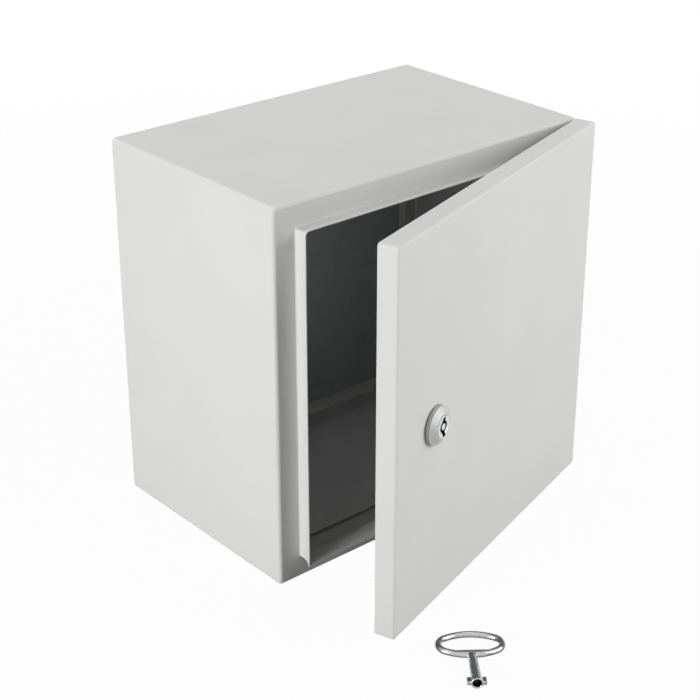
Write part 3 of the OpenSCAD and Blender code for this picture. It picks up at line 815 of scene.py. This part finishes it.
joints = {joint["name"]: joint for joint in frame["joints"]}
lock_axis = Vector(joints["lock_turn"]["axis"])
door_swing = math.atan2(-lock_axis.x, lock_axis.y)
hinge_at = Vector(joints["door_hinge"]["pos_m"])
TO_DOOR = (Matrix.Translation(hinge_at) @ Matrix.Rotation(door_swing, 4, "Z")
           @ Matrix.Translation(-hinge_at))
DOOR_REAR = FLANGE_Y - DOOR_GAP
DOOR_FACE = DOOR_REAR - DOOR_DEPTH
DOOR_SKIN = DOOR_FACE + SHEET
lock_at = TO_DOOR.inverted() @ Vector(joints["lock_turn"]["pos_m"])
TO_LOCK = TO_DOOR @ Matrix.Translation((lock_at.x, DOOR_FACE, lock_at.z)) @ FACING_FRONT


def door_loops():
    """Outer skin from its middle to the rear edge, then back along the inside."""
    section = arc((DOOR_BEND, DOOR_BEND), DOOR_BEND, 270, 180)
    section += arc((EDGE, DOOR_DEPTH - EDGE), EDGE, 180, 90, RIM_STEPS)
    section += arc((SHEET - EDGE, DOOR_DEPTH - EDGE), EDGE, 90, 0, RIM_STEPS)
    section += arc((DOOR_BEND, DOOR_BEND), DOOR_BEND - SHEET, 180, 270)
    return [corner_loop(HALF_W - u, HALF_H - u, r, r, DOOR_FACE + f)
            for u, f in section for r in [max(DOOR_CORNER - u, MITRE)]]


door = to_object("door_tray", loft(door_loops(), closed=False))
cut(door, prism("lock_cut", circle_outline(BARREL_HOLE, centre=(lock_at.x, lock_at.z)),
                DOOR_FACE - SHEET, DOOR_SKIN + SHEET, axis="Y"))
door.data.transform(TO_DOOR)
settle(door, paint)
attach(door, "door")
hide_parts("door_panel")

# ---------------------------------------------------------------- door seal
# A bead of grey polyurethane foam, poured round the inside of the door; the lip of the
# cabinet presses into it.
SEAL_W = 12 * MM
SEAL_T = 2.5 * MM
SEAL_HALF = 132.8 * MM
SEAL_CORNER = 9 * MM
SEAL_DROP = 1 * MM
SEAL_STEPS = 12


def seal_group():
    """Geometry Nodes: lays a bead's section along a closed flat path, in one finish."""
    group = bpy.data.node_groups.new("lay_bead", "GeometryNodeTree")
    for socket, kind in (("Path", "NodeSocketGeometry"), ("Section", "NodeSocketObject"),
                         ("Finish", "NodeSocketMaterial")):
        group.interface.new_socket(socket, in_out="INPUT", socket_type=kind)
    group.interface.new_socket("Geometry", in_out="OUTPUT", socket_type="NodeSocketGeometry")
    source = add_node(group, "NodeGroupInput")
    path = add_node(group, "GeometryNodeMeshToCurve", links={"Mesh": source.outputs["Path"]})
    level = add_node(group, "GeometryNodeSetCurveNormal", {"mode": "Z_UP"},
                     links={"Curve": path.outputs[0]})
    shape = add_node(group, "GeometryNodeObjectInfo", links={"Object": source.outputs["Section"]})
    outline = add_node(group, "GeometryNodeMeshToCurve", links={"Mesh": shape.outputs["Geometry"]})
    bead = add_node(group, "GeometryNodeCurveToMesh",
                    links={"Curve": level.outputs[0], "Profile Curve": outline.outputs[0]})
    real = add_node(group, "GeometryNodeRealizeInstances", links={"Geometry": bead.outputs[0]})
    finish = add_node(group, "GeometryNodeSetMaterial",
                      links={"Geometry": real.outputs[0], "Material": source.outputs["Finish"]})
    add_node(group, "NodeGroupOutput", links={0: finish.outputs[0]})
    return group


def closed_line(name, points):
    """A mesh of edges round a closed outline."""
    mesh = bpy.data.meshes.new(name)
    mesh.from_pydata(points, [(i, (i + 1) % len(points)) for i in range(len(points))], [])
    return link_object(name, mesh)


# Grey polyurethane foam: a flat mid grey with no sheen; its skin's pores drawn coarser.
foam = dull_plastic("grey_foam", "#5B5C5C", 0.9, 0.7 * MM, 0.1 * MM)
dome = [(SEAL_W / 2 * c, SEAL_T - SEAL_DROP * c * c)
        for c in [1 - 2 * i / SEAL_STEPS for i in range(SEAL_STEPS + 1)]]
section = closed_line("bead_section", [(SEAL_W / 2, 0, 0)] + [(x, -h, 0) for x, h in dome]
                      + [(-SEAL_W / 2, 0, 0)])
seal_path = rounded_outline(SEAL_HALF, SEAL_HALF, SEAL_CORNER)
seal = closed_line("door_bead", [(x, y, 0) for x, y in seal_path])
run_nodes(seal, seal_group(), {"Section": section, "Finish": foam})
bpy.data.objects.remove(section)
seal.data.transform(TO_DOOR @ Matrix.Translation((0, DOOR_SKIN, 0)) @ FACING_BACK)
smooth_by_angle(seal)
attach(seal, "door")
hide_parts("door_seal")

# ---------------------------------------------------------------- earth studs
# A copper-plated M6 weld stud on the cabinet's floor and another inside the door take
# the earth cables; each has a brass flanged nut.
EARTH_R = 3 * MM
EARTH_PAD = (5 * MM, 1 * MM)
EARTH_NUT_AF = 10 * MM
EARTH_NUT_T = 5 * MM
EARTH_PITCH = 1 * MM
EARTH_FLANGE = (6.5 * MM, 1.2 * MM)
PAD_CHAMFER = 0.4 * MM
BODY_EARTH = Matrix.Translation((110 * MM, -178 * MM, shell_low.z + SHEET))
DOOR_EARTH = TO_DOOR @ Matrix.Translation((81 * MM, DOOR_SKIN, -110 * MM)) @ FACING_BACK


def join_into(obj, other):
    """Adds the other object's mesh to this one and deletes the other."""
    bm = bmesh.new()
    bm.from_mesh(obj.data)
    bm.from_mesh(other.data)
    bm.to_mesh(obj.data)
    bm.free()
    bpy.data.objects.remove(other)


def earth_stud(name, node, place, body):
    """A weld stud with its flat pad, from the sheet outward along the place's z."""
    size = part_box(node)[1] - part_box(node)[0]
    rod = threaded_rod(name, EARTH_R, EARTH_PITCH, max(size))
    pad_r, pad_t = EARTH_PAD
    pad = turned("pad", [(pad_r, 0), (pad_r, pad_t - PAD_CHAMFER), (pad_r - PAD_CHAMFER, pad_t),
                         (EARTH_R, pad_t)], 48)
    join_into(rod, pad)
    rod.data.transform(place)
    settle(rod, copper)
    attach(rod, body)
    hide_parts(node)


def earth_nut(name, node, place, body):
    """A brass flanged nut screwed down on the stud's pad."""
    nut = hex_nut(name, EARTH_NUT_AF, EARTH_NUT_T, EARTH_R, EARTH_FLANGE)
    nut.data.transform(place @ Matrix.Translation((0, 0, EARTH_PAD[1])))
    settle(nut, brass)
    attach(nut, body)
    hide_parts(node)


# Copper flash and turned brass: the only warm colours on the object, both fairly bright.
# Their unevenness is drawn coarser than real.
copper = brushed_metal("copper_flash_on_steel", "#C98A6B", 0.3, 2 * MM, 0.02 * MM)
brass = brushed_metal("turned_brass", "#C9AE6A", 0.28, 2 * MM, 0.02 * MM)
earth_stud("floor_earth_stud", "body_earth_stud", BODY_EARTH, "cabinet")
earth_nut("floor_earth_nut", "body_earth_nut", BODY_EARTH, "cabinet")
earth_stud("skin_earth_stud", "door_earth_stud", DOOR_EARTH, "door")
earth_nut("skin_earth_nut", "door_earth_nut", DOOR_EARTH, "door")

# ---------------------------------------------------------------- lock housing, gasket and nut
# A zinc die-cast quarter-turn lock: a broad cone on the door's face and a threaded barrel
# through it, drawn up against a rubber gasket by a large nut inside.
GASKET_T = 0.8 * MM
GASKET_R = 14.4 * MM
THREAD_BORE = 11.05 * MM
LOCK_NUT_AF = 27 * MM
LOCK_NUT_T = 5 * MM
LOCK_SIDES = 96
# Radius and height over the door's face in mm: the barrel, the rim, the cone and the bore.
HOUSING = [(5.4, -15), (10.6, -15), (11, -14.6), (11, 0.75), (11.2, 0.82), (14.5, 0.82),
           (14.7, 1.0), (14.7, 3.3), (14.55, 3.65), (14.2, 3.8), (13.75, 3.8), (13.45, 4.0),
           (10.05, 6.5), (9.6, 6.76), (9.1, 6.8), (8.6, 6.8), (8.4, 6.7), (8.35, 6.5),
           (8.35, -11.9), (8.25, -12), (5.4, -12)]

# Satin, lacquered zinc casting: a soft grey, half paint and half metal to the eye. Its
# grain is drawn coarser than real.
casting = brushed_metal("satin_zinc_casting", "#B5B5B4", 0.62, 0.9 * MM, 0.04 * MM, 0.55)
housing = turned("lock_casting", [(r * MM, h * MM) for r, h in HOUSING], LOCK_SIDES, closed=True)
housing.data.transform(TO_LOCK)
settle(housing, casting, 30)
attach(housing, "door")
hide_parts("lock_housing")

gasket = washer("lock_gasket_ring", GASKET_R, THREAD_BORE, GASKET_T)
gasket.data.transform(TO_LOCK)
# Grey rubber: a matt line under the rim, no darker than the rim's own shade.
settle(gasket, dull_plastic("grey_gasket_rubber", "#80807E", 0.7, 1.2 * MM, 0.04 * MM))
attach(gasket, "door")
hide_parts("lock_gasket")

big_nut = hex_nut("lock_ring_nut", LOCK_NUT_AF, LOCK_NUT_T, THREAD_BORE)
big_nut.data.transform(TO_LOCK @ Matrix.Translation((0, 0, -SHEET - LOCK_NUT_T)))
settle(big_nut, zinc)
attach(big_nut, "door")
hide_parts("lock_nut")

# ---------------------------------------------------------------- lock insert
# The turning part, chromed zinc: in front a socket with two wings and a centre pin for
# the double-bit key, behind a shaft whose square end carries the cam that holds it in.
SOCKET_R = 4.7 * MM
SOCKET_DEPTH = 9 * MM
SOCKET_PIN_R = 2.6 * MM
SLOT = (4.0 * MM, 14.8 * MM)
INSERT_FRONT = 7.4 * MM
CAM_FRONT = 20.4 * MM
SHANK = 7 * MM
CAM_T = 3 * MM
OVERCUT = 1 * MM
PIN_FOOT = 0.2 * MM
# Radius and height over the door's face in mm: the shaft, the core and its front face.
INSERT = [(5.2, -20.4), (5.2, -11.95), (8.0, -11.95), (8.25, -11.7), (8.25, 6.9), (8.1, 7.25),
          (7.75, 7.4), (6.2, 7.4), (5.6, 7.1), (5.3, 6.9)]


def union(obj, other):
    """Fuses the other object into this one."""
    cut(obj, other, "UNION")


def rectangle(width, height):
    """The corner points of a rectangle about the origin."""
    return [(width / 2 * a, height / 2 * b) for a, b in ((-1, -1), (1, -1), (1, 1), (-1, 1))]


# Polished chrome: it mirrors the room, bright with sharp dark edges in the socket.
chrome = brushed_metal("polished_chrome_on_zinc", "#D6D8DA", 0.12, 3 * MM, 0.02 * MM)
insert = turned("lock_core_casting", [(r * MM, h * MM) for r, h in INSERT], LOCK_SIDES)
union(insert, prism("shank", rectangle(SHANK, SHANK), -CAM_FRONT - CAM_T, -CAM_FRONT + OVERCUT))
socket_floor = INSERT_FRONT - SOCKET_DEPTH
cut(insert, turned("socket", [(SOCKET_R, socket_floor), (SOCKET_R, INSERT_FRONT + OVERCUT)], 64))
cut(insert, prism("wings", rectangle(*SLOT), socket_floor, INSERT_FRONT + OVERCUT))
union(insert, turned("pin", [(SOCKET_PIN_R, socket_floor - PIN_FOOT),
                             (SOCKET_PIN_R, INSERT_FRONT - 0.7 * MM),
                             (SOCKET_PIN_R - 0.15 * MM, INSERT_FRONT - 0.4 * MM),
                             (SOCKET_PIN_R - 0.6 * MM, INSERT_FRONT - 0.3 * MM)], 48))
insert.data.transform(TO_LOCK)
settle(insert, chrome, 30)
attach(insert, "lock_core")
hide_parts("lock_insert")

# ---------------------------------------------------------------- cam, its washer and screw
# The zinc-plated cam sits on the square end behind the flange's lip, held by a washer
# and a hexagon-head screw.
softened("lock_cam_plate", "lock_cam", "lock_core", zinc)
softened("cam_disc", "cam_washer", "lock_core", zinc)
softened("cam_hexagon_screw", "cam_screw", "lock_core", zinc)

# ---------------------------------------------------------------- key
# A nickel-plated zinc casting: an oval bow, a tapered stem with a flat web on it, and two
# short wings beside the hollow end. It lies on the floor in front of the door.
KEY_VOXEL = 0.28 * MM
# Painted reflection: the key's colour runs from light to dark by how far its surface turns from the
# view, standing in for the room mirrored in the nickel.
KEY_PAINTED_REFLECTIONS = [(0, "#C4C5C7"), (0.16, "#A9AAAC"), (0.34, "#5E5F61"), (0.52, "#6A6B6D"),
             (0.72, "#D8D9DA"), (1, "#9A9B9D")]
RIPPLE_DEPTH = 0.12 * MM
SOFTENING = 8


def painted_reflection_casting(name, ripple, roughness):
    """Bright plating on an uneven casting, with painted reflections: light and dark bands in its
    colour by how far the surface turns from the view.
    """
    material, tree = new_material(name)
    place = add_node(tree, "ShaderNodeTexCoord")
    noise = add_node(tree, "ShaderNodeTexNoise", inputs={"Scale": 1 / ripple, "Detail": 2.0},
                     links={"Vector": place.outputs["Object"]})
    facing = add_node(tree, "ShaderNodeLayerWeight", inputs={"Blend": 0.5})
    sway = add_node(tree, "ShaderNodeMapRange", inputs={"To Min": -0.15, "To Max": 0.15},
                    links={"Value": noise.outputs["Fac"]})
    band = add_node(tree, "ShaderNodeMath", {"operation": "ADD"},
                    links={0: facing.outputs["Facing"], 1: sway.outputs[0]})
    # This ramp paints the reflections into the colour.
    painted_reflection_tone = add_node(tree, "ShaderNodeValToRGB", links={"Fac": band.outputs[0]})
    ramp = painted_reflection_tone.color_ramp
    ramp.elements[0].color = linear(KEY_PAINTED_REFLECTIONS[0][1])
    ramp.elements[1].color = linear(KEY_PAINTED_REFLECTIONS[-1][1])
    for at, colour in KEY_PAINTED_REFLECTIONS[1:-1]:
        ramp.elements.new(at).color = linear(colour)
    bump = add_node(tree, "ShaderNodeBump", inputs={"Strength": 0.3, "Distance": RIPPLE_DEPTH},
                    links={"Height": noise.outputs["Fac"]})
    shader = add_node(tree, "ShaderNodeBsdfPrincipled",
                      inputs={"Metallic": 1.0, "Roughness": roughness},
                      links={"Base Color": painted_reflection_tone.outputs["Color"], "Normal": bump.outputs["Normal"]})
    add_node(tree, "ShaderNodeOutputMaterial", links={"Surface": shader.outputs[0]})
    return material


key = merged_copy("key_casting", "key")
remesh = key.modifiers.new("cast", "REMESH")
remesh.mode = "VOXEL"
remesh.voxel_size = KEY_VOXEL
soften = key.modifiers.new("soften", "SMOOTH")
soften.factor = 0.5
soften.iterations = SOFTENING
bake_modifiers(key)
key.data.materials.clear()
# Bright nickel with painted reflections: light and dark bands along the bow and stem, painted by
# how the surface turns from the view and broken by the casting's ripple, which is drawn coarser
# than real.
key.data.materials.append(painted_reflection_casting("nickel_with_painted_reflections", 2.5 * MM, 0.15))
key.data.shade_smooth()
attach(key, "key")
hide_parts("key")
